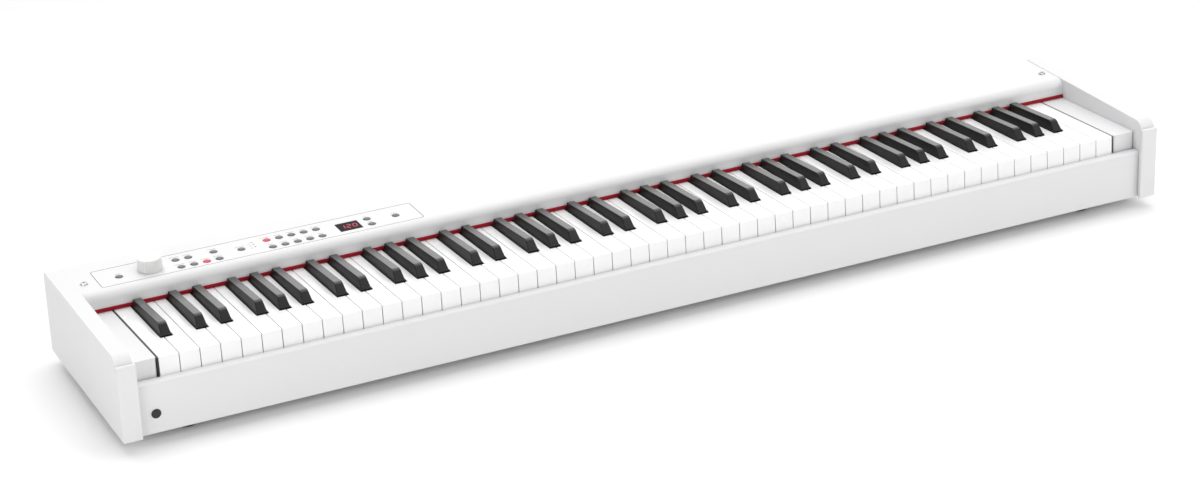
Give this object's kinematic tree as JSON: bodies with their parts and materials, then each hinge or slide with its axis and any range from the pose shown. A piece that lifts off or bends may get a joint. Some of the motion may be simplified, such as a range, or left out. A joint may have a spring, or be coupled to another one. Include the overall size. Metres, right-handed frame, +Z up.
{
  "type": "digital piano",
  "caption": "Slim white full-width digital piano: hinged weighted keys in a box case with cheeks, a top control panel, rear sockets and four low feet.",
  "frame": {"origin": "middle of the footprint, level with the underside of the feet", "axes": "+X along the keyboard to the player's right, +Y away from the player, +Z up"},
  "size_m": [1.327, 0.263, 0.128],
  "materials": {
    "case_white": "satin",
    "case_board": "satin white paint",
    "key_white": "gloss",
    "key_black": "fine textured matte",
    "felt_red": "felt",
    "foot_rubber": "matte",
    "knob_white": "milky gloss",
    "button_grey": "satin",
    "display_dark": "gloss",
    "socket_black": "satin",
    "steel": "bright zinc",
    "circuit_board": "satin",
    "frame_grey": "matte"
  },
  "bodies": {
    "case": {"bottom_board": "case_board", "left_cheek": "case_board", "right_cheek": "case_board", "left_corner_post": "case_white", "right_corner_post": "case_white", "left_key_block": "case_white", "right_key_block": "case_white", "key_slip": "case_white", "top_panel": "case_white", "rear_panel": "case_white", "socket_plate": "case_white", "felt_strip": "felt_red", "volume_potentiometer": "steel", "display_window": "display_dark", "headphone_jack": "socket_black", "line_output_jacks": "socket_black", "pedal_jack": "socket_black", "midi_sockets": "socket_black", "power_inlet": "socket_black", "front_left_foot": "foot_rubber", "front_right_foot": "foot_rubber", "rear_left_foot": "foot_rubber", "rear_right_foot": "foot_rubber", "key_frame": "frame_grey", "key_hinge_rod": "steel", "key_sensor_board": "circuit_board", "main_board": "circuit_board", "panel_board": "circuit_board", "left_panel_screw": "steel", "right_panel_screw": "steel"},
    "white_keys_a0_b1": {"white_keys_a0_b1": "key_white"},
    "white_keys_c2_b2": {"white_keys_c2_b2": "key_white"},
    "white_keys_c3_b3": {"white_keys_c3_b3": "key_white"},
    "white_key_c4": {"white_key_c4": "key_white"},
    "white_key_d4": {"white_key_d4": "key_white"},
    "white_key_e4": {"white_key_e4": "key_white"},
    "white_key_f4": {"white_key_f4": "key_white"},
    "white_key_g4": {"white_key_g4": "key_white"},
    "white_key_a4": {"white_key_a4": "key_white"},
    "white_key_b4": {"white_key_b4": "key_white"},
    "white_keys_c5_b5": {"white_keys_c5_b5": "key_white"},
    "white_keys_c6_b6": {"white_keys_c6_b6": "key_white"},
    "white_keys_c7_c8": {"white_keys_c7_c8": "key_white"},
    "black_keys_a0_b1": {"black_keys_a0_b1": "key_black"},
    "black_keys_c2_b2": {"black_keys_c2_b2": "key_black"},
    "black_keys_c3_b3": {"black_keys_c3_b3": "key_black"},
    "black_key_c_sharp_4": {"black_key_c_sharp_4": "key_black"},
    "black_key_d_sharp_4": {"black_key_d_sharp_4": "key_black"},
    "black_key_f_sharp_4": {"black_key_f_sharp_4": "key_black"},
    "black_key_g_sharp_4": {"black_key_g_sharp_4": "key_black"},
    "black_key_a_sharp_4": {"black_key_a_sharp_4": "key_black"},
    "black_keys_c5_b5": {"black_keys_c5_b5": "key_black"},
    "black_keys_c6_b6": {"black_keys_c6_b6": "key_black"},
    "black_keys_c7_c8": {"black_keys_c7_c8": "key_black"},
    "power_button": {"power_button": "button_grey"},
    "function_buttons": {"function_buttons": "button_grey"},
    "tone_buttons": {"tone_buttons": "button_grey"},
    "value_buttons": {"value_buttons": "button_grey"},
    "record_button": {"record_button": "button_grey"},
    "volume_knob": {"volume_knob": "knob_white"}
  },
  "joints": [
    {"name": "white_keys_a0_b1_hinge", "type": "hinge", "parent": "case", "child": "white_keys_a0_b1", "pos_m": [-0.50525, 0.10573, 0.07752], "axis": [1, 0, 0], "range_deg": [0, 2.6], "stiffness_Nm_per_rad": 14.4, "springref_deg": -6.02},
    {"name": "white_keys_c2_b2_hinge", "type": "hinge", "parent": "case", "child": "white_keys_c2_b2", "pos_m": [-0.31725, 0.10573, 0.07752], "axis": [1, 0, 0], "range_deg": [0, 2.6], "stiffness_Nm_per_rad": 11.2, "springref_deg": -6.02},
    {"name": "white_keys_c3_b3_hinge", "type": "hinge", "parent": "case", "child": "white_keys_c3_b3", "pos_m": [-0.15275, 0.10573, 0.07752], "axis": [1, 0, 0], "range_deg": [0, 2.6], "stiffness_Nm_per_rad": 11.2, "springref_deg": -6.02},
    {"name": "white_key_c4_hinge", "type": "hinge", "parent": "case", "child": "white_key_c4", "pos_m": [-0.05875, 0.10573, 0.07752], "axis": [1, 0, 0], "range_deg": [0, 2.6], "stiffness_Nm_per_rad": 1.6, "springref_deg": -6.02},
    {"name": "white_key_d4_hinge", "type": "hinge", "parent": "case", "child": "white_key_d4", "pos_m": [-0.03525, 0.10573, 0.07752], "axis": [1, 0, 0], "range_deg": [0, 2.6], "stiffness_Nm_per_rad": 1.6, "springref_deg": -6.02},
    {"name": "white_key_e4_hinge", "type": "hinge", "parent": "case", "child": "white_key_e4", "pos_m": [-0.01175, 0.10573, 0.07752], "axis": [1, 0, 0], "range_deg": [0, 2.6], "stiffness_Nm_per_rad": 1.6, "springref_deg": -6.02},
    {"name": "white_key_f4_hinge", "type": "hinge", "parent": "case", "child": "white_key_f4", "pos_m": [0.01175, 0.10573, 0.07752], "axis": [1, 0, 0], "range_deg": [0, 2.6], "stiffness_Nm_per_rad": 1.6, "springref_deg": -6.02},
    {"name": "white_key_g4_hinge", "type": "hinge", "parent": "case", "child": "white_key_g4", "pos_m": [0.03525, 0.10573, 0.07752], "axis": [1, 0, 0], "range_deg": [0, 2.6], "stiffness_Nm_per_rad": 1.6, "springref_deg": -6.02},
    {"name": "white_key_a4_hinge", "type": "hinge", "parent": "case", "child": "white_key_a4", "pos_m": [0.05875, 0.10573, 0.07752], "axis": [1, 0, 0], "range_deg": [0, 2.6], "stiffness_Nm_per_rad": 1.6, "springref_deg": -6.02},
    {"name": "white_key_b4_hinge", "type": "hinge", "parent": "case", "child": "white_key_b4", "pos_m": [0.08225, 0.10573, 0.07752], "axis": [1, 0, 0], "range_deg": [0, 2.6], "stiffness_Nm_per_rad": 1.6, "springref_deg": -6.02},
    {"name": "white_keys_c5_b5_hinge", "type": "hinge", "parent": "case", "child": "white_keys_c5_b5", "pos_m": [0.17625, 0.10573, 0.07752], "axis": [1, 0, 0], "range_deg": [0, 2.6], "stiffness_Nm_per_rad": 11.2, "springref_deg": -6.02},
    {"name": "white_keys_c6_b6_hinge", "type": "hinge", "parent": "case", "child": "white_keys_c6_b6", "pos_m": [0.34075, 0.10573, 0.07752], "axis": [1, 0, 0], "range_deg": [0, 2.6], "stiffness_Nm_per_rad": 11.2, "springref_deg": -6.02},
    {"name": "white_keys_c7_c8_hinge", "type": "hinge", "parent": "case", "child": "white_keys_c7_c8", "pos_m": [0.517, 0.10573, 0.07752], "axis": [1, 0, 0], "range_deg": [0, 2.6], "stiffness_Nm_per_rad": 12.8, "springref_deg": -6.02},
    {"name": "black_keys_a0_b1_hinge", "type": "hinge", "parent": "case", "child": "black_keys_a0_b1", "pos_m": [-0.50525, 0.10573, 0.07752], "axis": [1, 0, 0], "range_deg": [0, 2.6], "stiffness_Nm_per_rad": 8.4, "springref_deg": -6.02},
    {"name": "black_keys_c2_b2_hinge", "type": "hinge", "parent": "case", "child": "black_keys_c2_b2", "pos_m": [-0.31725, 0.10573, 0.07752], "axis": [1, 0, 0], "range_deg": [0, 2.6], "stiffness_Nm_per_rad": 7, "springref_deg": -6.02},
    {"name": "black_keys_c3_b3_hinge", "type": "hinge", "parent": "case", "child": "black_keys_c3_b3", "pos_m": [-0.15275, 0.10573, 0.07752], "axis": [1, 0, 0], "range_deg": [0, 2.6], "stiffness_Nm_per_rad": 7, "springref_deg": -6.02},
    {"name": "black_key_c_sharp_4_hinge", "type": "hinge", "parent": "case", "child": "black_key_c_sharp_4", "pos_m": [-0.0496, 0.10573, 0.07752], "axis": [1, 0, 0], "range_deg": [0, 2.6], "stiffness_Nm_per_rad": 1.4, "springref_deg": -6.02},
    {"name": "black_key_d_sharp_4_hinge", "type": "hinge", "parent": "case", "child": "black_key_d_sharp_4", "pos_m": [-0.0211, 0.10573, 0.07752], "axis": [1, 0, 0], "range_deg": [0, 2.6], "stiffness_Nm_per_rad": 1.4, "springref_deg": -6.02},
    {"name": "black_key_f_sharp_4_hinge", "type": "hinge", "parent": "case", "child": "black_key_f_sharp_4", "pos_m": [0.0202, 0.10573, 0.07752], "axis": [1, 0, 0], "range_deg": [0, 2.6], "stiffness_Nm_per_rad": 1.4, "springref_deg": -6.02},
    {"name": "black_key_g_sharp_4_hinge", "type": "hinge", "parent": "case", "child": "black_key_g_sharp_4", "pos_m": [0.047, 0.10573, 0.07752], "axis": [1, 0, 0], "range_deg": [0, 2.6], "stiffness_Nm_per_rad": 1.4, "springref_deg": -6.02},
    {"name": "black_key_a_sharp_4_hinge", "type": "hinge", "parent": "case", "child": "black_key_a_sharp_4", "pos_m": [0.0737, 0.10573, 0.07752], "axis": [1, 0, 0], "range_deg": [0, 2.6], "stiffness_Nm_per_rad": 1.4, "springref_deg": -6.02},
    {"name": "black_keys_c5_b5_hinge", "type": "hinge", "parent": "case", "child": "black_keys_c5_b5", "pos_m": [0.17625, 0.10573, 0.07752], "axis": [1, 0, 0], "range_deg": [0, 2.6], "stiffness_Nm_per_rad": 7, "springref_deg": -6.02},
    {"name": "black_keys_c6_b6_hinge", "type": "hinge", "parent": "case", "child": "black_keys_c6_b6", "pos_m": [0.34075, 0.10573, 0.07752], "axis": [1, 0, 0], "range_deg": [0, 2.6], "stiffness_Nm_per_rad": 7, "springref_deg": -6.02},
    {"name": "black_keys_c7_c8_hinge", "type": "hinge", "parent": "case", "child": "black_keys_c7_c8", "pos_m": [0.50525, 0.10573, 0.07752], "axis": [1, 0, 0], "range_deg": [0, 2.6], "stiffness_Nm_per_rad": 7, "springref_deg": -6.02},
    {"name": "power_button_press", "type": "slide", "parent": "case", "child": "power_button", "axis": [0, 0, -1], "range_m": [0, 0.001], "stiffness_N_per_m": 900, "springref_m": -0.001},
    {"name": "function_buttons_press", "type": "slide", "parent": "case", "child": "function_buttons", "axis": [0, 0, -1], "range_m": [0, 0.001], "stiffness_N_per_m": 900, "springref_m": -0.001},
    {"name": "tone_buttons_press", "type": "slide", "parent": "case", "child": "tone_buttons", "axis": [0, 0, -1], "range_m": [0, 0.001], "stiffness_N_per_m": 900, "springref_m": -0.001},
    {"name": "value_buttons_press", "type": "slide", "parent": "case", "child": "value_buttons", "axis": [0, 0, -1], "range_m": [0, 0.001], "stiffness_N_per_m": 900, "springref_m": -0.001},
    {"name": "record_button_press", "type": "slide", "parent": "case", "child": "record_button", "axis": [0, 0, -1], "range_m": [0, 0.001], "stiffness_N_per_m": 900, "springref_m": -0.001},
    {"name": "volume_turn", "type": "hinge", "parent": "case", "child": "volume_knob", "pos_m": [-0.555, 0.0785, 0.114], "axis": [0, 0, -1], "range_deg": [0, 280]}
  ]
}
